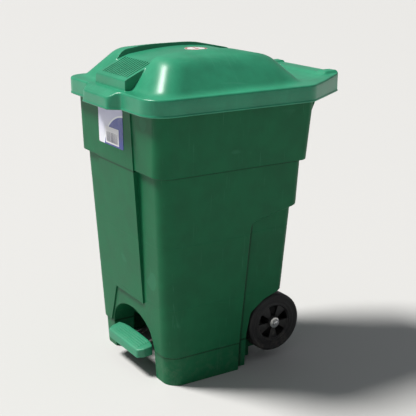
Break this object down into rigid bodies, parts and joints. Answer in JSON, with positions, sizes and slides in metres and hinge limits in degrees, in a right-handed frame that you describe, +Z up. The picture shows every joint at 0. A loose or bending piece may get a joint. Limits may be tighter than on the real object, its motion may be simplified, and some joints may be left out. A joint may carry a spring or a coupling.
{
  "type": "wheelie bin",
  "caption": "Tapered plastic waste bin on rear wheels, with a domed lid hinged at the rear grip that a front foot pedal lifts through a lever and a push rod.",
  "frame": {"origin": "on the floor, under the middle of the bin's bounding box", "axes": "+Z up; the pedal side faces -Y, the wheels and grip are at +Y; +X runs along the wheel axle, to the right of someone who faces the pedal side"},
  "size_m": [0.48, 0.636, 0.8189],
  "materials": {
    "green_body": "moulded polyethylene, satin with fine scuffs",
    "green_lid": "moulded polyethylene, semi-gloss",
    "green_pedal": "moulded polypropylene, satin",
    "black_plastic": "moulded nylon",
    "black_steel": "black paint on steel",
    "wheel_plastic": "moulded, satin",
    "tyre": "solid rubber",
    "rubber": "soft rubber",
    "zinc_steel": "bright zinc plate",
    "label": "printed film"
  },
  "bodies": {
    "tub_body": {"tub": "green_body", "front_label": "label", "hinge_rod": "zinc_steel", "hinge_rod_caps": "black_plastic", "handle_grip": "black_plastic", "pivot_bracket_right": "zinc_steel", "pivot_bracket_left": "zinc_steel", "bracket_screws": "zinc_steel", "pivot_rod": "zinc_steel", "pivot_rod_clips": "zinc_steel", "lower_rod_guide": "black_plastic", "upper_rod_guide": "black_plastic", "guide_screws": "zinc_steel", "axle": "zinc_steel", "axle_spacers": "black_plastic", "axle_washers": "zinc_steel", "axle_bolts": "zinc_steel"},
    "lid_body": {"lid": "green_lid", "lid_crank": "black_plastic", "lid_crank_screws": "zinc_steel", "lid_buffers": "rubber", "lid_label": "label"},
    "pedal_body": {"pedal": "green_pedal", "pedal_lever": "black_steel", "pedal_screws": "zinc_steel"},
    "lift_rod_body": {"lift_rod": "zinc_steel", "lift_rod_foot": "black_plastic", "lift_rod_yoke": "black_plastic", "yoke_pin": "zinc_steel"},
    "wheel_right": {"wheel_rim_right": "wheel_plastic", "tyre_right": "tyre", "wheel_bush_right": "black_plastic"},
    "wheel_left": {"wheel_rim_left": "wheel_plastic", "tyre_left": "tyre", "wheel_bush_left": "black_plastic"}
  },
  "joints": [
    {"name": "lid_hinge", "type": "hinge", "parent": "tub_body", "child": "lid_body", "pos_m": [0, 0.265, 0.708], "axis": [-1, 0, 0], "range_deg": [0, 70]},
    {"name": "pedal_pivot", "type": "hinge", "parent": "tub_body", "child": "pedal_body", "pos_m": [0, -0.113, 0.085], "axis": [1, 0, 0], "range_deg": [0, 15]},
    {"name": "lift_slide", "type": "slide", "parent": "tub_body", "child": "lift_rod_body", "axis": [0, 0.1052, 0.9945], "range_m": [0, 0.076]},
    {"name": "wheel_right_spin", "type": "hinge", "parent": "tub_body", "child": "wheel_right", "pos_m": [0.153, 0.102, 0.1], "axis": [1, 0, 0], "continuous": true},
    {"name": "wheel_left_spin", "type": "hinge", "parent": "tub_body", "child": "wheel_left", "pos_m": [-0.153, 0.102, 0.1], "axis": [1, 0, 0], "continuous": true}
  ],
  "couplings": [
    {"joint": "pedal_pivot", "follows": "lid_hinge", "ratio": 0.212},
    {"joint": "lift_slide", "follows": "lid_hinge", "m_per_rad": 0.0611}
  ]
}
